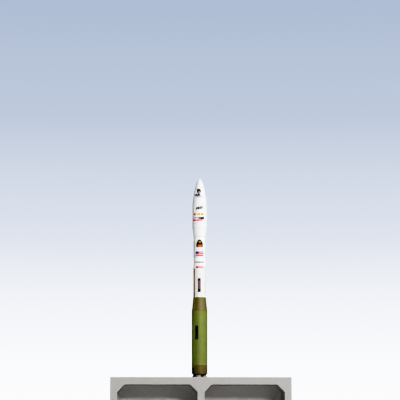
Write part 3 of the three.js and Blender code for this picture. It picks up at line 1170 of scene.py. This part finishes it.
def stage_marks():
    """The black rectangle on the first stage, and the second stage's panel, dashes and red wave."""
    rectangle = [("ink_black", 0, block(-3.64, -1.28, 28.93, 39.22))]
    west, east = -1.66, 0.7
    panel = [
        ("ink_black", 0, block(west, east, 64.25, 74.6)),
        ("ink_mauve", 1, block(west + 0.05, east - 0.3, 66.6, 72.85)),
    ]
    wave = [("ink_red", 0, wave_band(-3.3, -1.3, 82.95, 0.2, 1.5, 1)),
            ("ink_rose", 0, wave_band(-1.3, 3.0, 83.0, 0.3, 1.35, 2))]
    dashes = [
        ("ink_violet", 0, block(x, x + 0.9, 86.15, 87.35))
        for x in (-3.7, -2.68, -1.66, -0.64, 0.38, 1.4, 2.42)
    ]
    return {
        "marking_stage1_rectangle": rectangle,
        "marking_stage2_panel": panel,
        "marking_stage2_wave": wave,
        "marking_stage2_dashes": dashes,
    }


def flag_marks():
    """A striped flag with a plain blue corner."""
    west, east = -3.5, 2.9
    low, high = 91.15, 94.8
    corner_east, corner_low = -0.75, 93.0
    shapes = [("ink_red", 0, block(west, east, low, high))]
    thread = 0.2
    for foot in (92.2, 92.75, 93.9):
        start = corner_east if foot + thread > corner_low else west
        shapes.append(("white", 1, block(start, east, foot, foot + thread)))
    shapes.append(("ink_blue", 1, block(west, corner_east, corner_low, high)))
    return {"marking_stage3_flag": shapes}


def badge_marks():
    """A plain dome-topped badge with level bands."""
    west, east, low, high = -2.9, 2.4, 97.88, 103.84
    middle = (west + east) / 2
    dome = [(west, low), (east, low), (east, low + 3.1), (east - 1.2, high - 0.75), (middle + 0.7, high),
            (middle - 0.7, high), (west + 1.2, high - 0.75), (west, low + 3.1)]
    bands = (
        ("ink_gold", -0.95, 0.9, 101.4, 102.6),
        ("ink_crimson", -1.5, 1.5, 99.6, 100.3),
        ("ink_flame", -1.6, 1.4, 98.9, 99.6),
        ("ink_gold", -1.7, 1.5, 98.15, 98.9),
    )
    shapes = [("ink_black", 0, dome)]
    shapes += [(ink, 1, block(start, end, foot, head)) for ink, start, end, foot, head in bands]
    return {"marking_stage3_badge": shapes}


def fairing_marks():
    """The strips, squares and slanted dashes on the fairing's barrel."""
    strips = [
        ("ink_red", 0, block(-6.6, -3.9, 117.7, 118.95)),
        ("ink_rose", 0, block(-3.9, 2.15, 117.7, 118.95)),
        ("ink_grey", 0, [(-5.8, 120.05), (-1.25, 119.5), (-1.25, 120.7), (-5.8, 120.65)]),
        ("ink_sea", 0, [(-1.15, 119.15), (0.7, 119.0), (0.7, 120.75), (-1.15, 120.7)]),
        ("ink_maroon", 0, [(0.7, 118.97), (3.3, 118.97), (3.4, 120.1), (3.2, 121.05), (0.7, 120.75)]),
    ]
    squares = [
        ("ink_orange", 0, block(-5.5, -3.05, 122.0, 123.7)),
        ("ink_amber", 0, block(-1.95, 0.15, 122.0, 123.7)),
        ("ink_yellow", 0, block(0.65, 2.95, 122.0, 123.7)),
    ]
    dashes = [
        ("ink_charcoal", 0, block(x, x + 1.12, 126.25 + lift, 128.3 + lift, slant=0.4))
        for x, lift in ((-3.2, 0.0), (-1.85, 0.2), (-0.5, 0.4), (0.85, 0.6))
    ]
    return {
        "marking_fairing_strips": strips,
        "marking_fairing_squares": squares,
        "marking_fairing_dashes": dashes,
    }


def nose_marks():
    """A plain roundel with a bar, over two level bars."""
    centre = -0.8
    shapes = [
        ("ink_teal", 0, ellipse(centre, 140.45, 3.4, 4.1)),
        ("ink_orange", 1, block(centre - 0.9, centre + 1.3, 139.2, 140.2)),
        ("ink_navy", 0, block(centre - 3.3, centre + 1.3, 136.85, 138.3)),
        ("ink_sky", 0, block(centre - 2.3, centre + 2.6, 135.6, 136.75)),
    ]
    return {"marking_nose_roundel": shapes}


class ROCKET_OT_markings(Operator):
    """Lay the plain stripes, blocks and bars on the rocket's skin"""
    bl_idname = "rocket_model.markings"
    bl_label = "Markings"

    def execute(self, context):
        for marks in (stage_marks(), flag_marks(), badge_marks(), fairing_marks(), nose_marks()):
            for name, shapes in marks.items():
                add_piece(name, film_mesh(name, shapes), None)
        return {"FINISHED"}


# The stage

# Backdrop: how far above the horizon, in degrees, and the colour there
BACKDROP = (
    (1.3, (252, 252, 253)),
    (2.6, (249, 250, 252)),
    (6.5, (223, 228, 238)),
    (10.5, (191, 202, 220)),
    (14.4, (174, 189, 212)),
)
FLOOR_SIZE = 6.0
FLOOR_TONES = ((232, 233, 235), (227, 229, 232))
FLOOR_PATCH = 0.2
FLOOR_FADE = (0.12, 0.5)

# The tone curve's points stand closer together where tones are dark
TONE_POINTS = 14
TONE_SPACING = 1.8
COMBINED_CURVE = 3


def toned(value, stage):
    """The display's linear value for a scene's value: dark tones deepen, bright ones roll off."""
    raised = value ** stage.tone_power
    return stage.tone_top * raised / (raised + stage.tone_pivot)


def untoned(value, stage):
    """The scene's value that the tone curve turns into this display value."""
    return (stage.tone_pivot * value / (stage.tone_top - value)) ** (1 / stage.tone_power)


def set_tone_curve(stage):
    """Gives the view a combined curve that deepens dark tones and rolls off bright ones."""
    view = bpy.context.scene.view_settings
    view.view_transform = "Standard"
    view.use_curve_mapping = True
    mapping = view.curve_mapping
    reach = untoned(1, stage)
    mapping.clip_max_x = reach
    curve = mapping.curves[COMBINED_CURVE]
    curve.points[1].location = (reach, 1)
    for index in range(1, TONE_POINTS):
        place = reach * (index / TONE_POINTS) ** TONE_SPACING
        curve.points.new(place, toned(place, stage))
    mapping.update()


def add_camera(stage):
    """A camera near the floor that looks slightly up."""
    camera = add_object("camera", bpy.data.cameras.new("camera"))
    camera.data.lens = stage.lens
    camera.data.clip_start = 0.05
    camera.location = (-stage.camera_shift, -stage.distance, stage.camera_height)
    camera.rotation_euler = (math.pi / 2 + stage.pitch, 0, -stage.yaw)
    bpy.context.scene.camera = camera


# Lights: angle from the front, to the right, and elevation in degrees, then distance, size and the
# height looked at, in metres
LIGHTS = {
    "key": (14, 15.4, 1.05, 0.17, 0.1),
    "fill": (40, 28, 1.2, 0.4, 0.12),
    "side": (64, 27, 1.2, 0.4, 0.12),
    "back": (190, 34, 1.3, 0.35, 0.1),
}


def add_light(name, power):
    """A round area light that looks at the model."""
    angle, elevation, distance, size, target_height = LIGHTS[name]
    elevation = math.radians(elevation)
    lamp = add_object(name + "_light", bpy.data.lights.new(name + "_light", "AREA"))
    lamp.data.shape = "DISK"
    lamp.data.size = size
    lamp.data.energy = power
    offset = polar(math.radians(angle), distance * math.cos(elevation), distance * math.sin(elevation))
    lamp.location = offset + Vector((0, 0, target_height))
    lamp.rotation_euler = (-offset).to_track_quat("-Z", "Y").to_euler()


def backdrop_colour(colour, stage):
    """The scene's colour that the camera shows as this display colour."""
    return opaque(untoned(channel, stage) for channel in linear(*colour))


def camera_ray(tree):
    """One for what the camera sees, and nothing for light."""
    return tree.nodes.new("ShaderNodeLightPath").outputs["Is Camera Ray"]


def add_backdrop(stage):
    """A sky that only the camera sees, and an even light from all round."""
    world = bpy.data.worlds.new("backdrop")
    bpy.context.scene.world = world
    world.use_nodes = True
    tree = world.node_tree
    tree.nodes.clear()
    generated = tree.nodes.new("ShaderNodeTexCoord").outputs["Generated"]
    direction = add_node(tree, "ShaderNodeSeparateXYZ", {0: generated})
    ramp = add_node(tree, "ShaderNodeValToRGB", {"Fac": direction.outputs["Z"]})
    stops = ramp.color_ramp.elements
    stops.remove(stops[1])
    for index, (elevation, colour) in enumerate(BACKDROP):
        stop = stops[0] if index == 0 else stops.new(1)
        stop.position = math.sin(math.radians(elevation))
        stop.color = backdrop_colour(colour, stage)
    choice = add_node(tree, "ShaderNodeMixShader", {
        0: camera_ray(tree),
        1: add_node(tree, "ShaderNodeBackground", {"Strength": stage.ambient}),
        2: add_node(tree, "ShaderNodeBackground", {"Color": ramp}),
    })
    add_node(tree, "ShaderNodeOutputWorld", {"Surface": choice})


def add_floor(stage):
    """A wide pale floor under the plinth. Far off, the camera sees it fade into the backdrop."""
    bm = bmesh.new()
    bmesh.ops.create_grid(bm, x_segments=8, y_segments=8, size=FLOOR_SIZE / 2)
    material, tree, shader = new_material("finish_floor")
    place = object_place(tree)
    tones = [opaque(linear(*colour)) for colour in FLOOR_TONES]
    feed(tree, shader["Base Color"], add_mix(tree, add_noise(tree, place, FLOOR_PATCH), *tones))
    shader["Roughness"].default_value = 0.8
    reach = add_node(tree, "ShaderNodeVectorMath", {0: place}, operation="LENGTH").outputs["Value"]
    fade = add_node(tree, "ShaderNodeMixShader", {
        0: add_math(tree, "MULTIPLY", add_range(tree, reach, *FLOOR_FADE), camera_ray(tree)),
        1: tree.nodes["Principled BSDF"],
        2: add_node(tree, "ShaderNodeEmission", {"Color": backdrop_colour(BACKDROP[0][1], stage)}),
    })
    feed(tree, tree.nodes["Material Output"].inputs["Surface"], fade)
    floor = add_object("floor", mesh_from("floor", bm))
    floor.data.materials.append(material)


class ROCKET_OT_stage(Operator):
    """Set up the camera, the lights, the backdrop and the floor"""
    bl_idname = "rocket_model.stage"
    bl_label = "Stage"

    def execute(self, context):
        stage = context.scene.rocket_stage
        set_tone_curve(stage)
        add_camera(stage)
        for name in LIGHTS:
            add_light(name, getattr(stage, name + "_power"))
        add_backdrop(stage)
        add_floor(stage)
        return {"FINISHED"}


OPERATORS = (
    ROCKET_OT_stage,
    ROCKET_OT_plinth,
    ROCKET_OT_sections,
    ROCKET_OT_nose,
    ROCKET_OT_aft_end,
    ROCKET_OT_raceways,
    ROCKET_OT_fasteners,
    ROCKET_OT_markings,
)


class ROCKET_PT_panel(Panel):
    """Lists the model's pieces and their settings"""
    bl_idname = "ROCKET_PT_panel"
    bl_label = "Rocket Model"
    bl_space_type = "VIEW_3D"
    bl_region_type = "UI"
    bl_category = "Rocket Model"

    def draw(self, context):
        for operator in OPERATORS:
            self.layout.operator(operator.bl_idname)
        for group, _ in SETTINGS:
            settings = getattr(context.scene, group)
            box = self.layout.box()
            for key in settings.bl_rna.properties.keys():
                if key not in ("rna_type", "name"):
                    box.prop(settings, key)


SETTINGS = (
    ("rocket_shape", RocketShape),
    ("rocket_paints", RocketPaints),
    ("rocket_stage", RocketStage),
)


def register():
    for key, group in SETTINGS:
        bpy.utils.register_class(group)
        setattr(bpy.types.Scene, key, PointerProperty(type=group))
    for kind in (*OPERATORS, ROCKET_PT_panel):
        bpy.utils.register_class(kind)


def unregister():
    for kind in (ROCKET_PT_panel, *reversed(OPERATORS)):
        bpy.utils.unregister_class(kind)
    for key, group in reversed(SETTINGS):
        delattr(bpy.types.Scene, key)
        bpy.utils.unregister_class(group)


def main():
    register()
    for operator in OPERATORS:
        family, name = operator.bl_idname.split(".")
        getattr(getattr(bpy.ops, family), name)()
    bpy.context.view_layer.update()


if __name__ == "__main__":
    main()
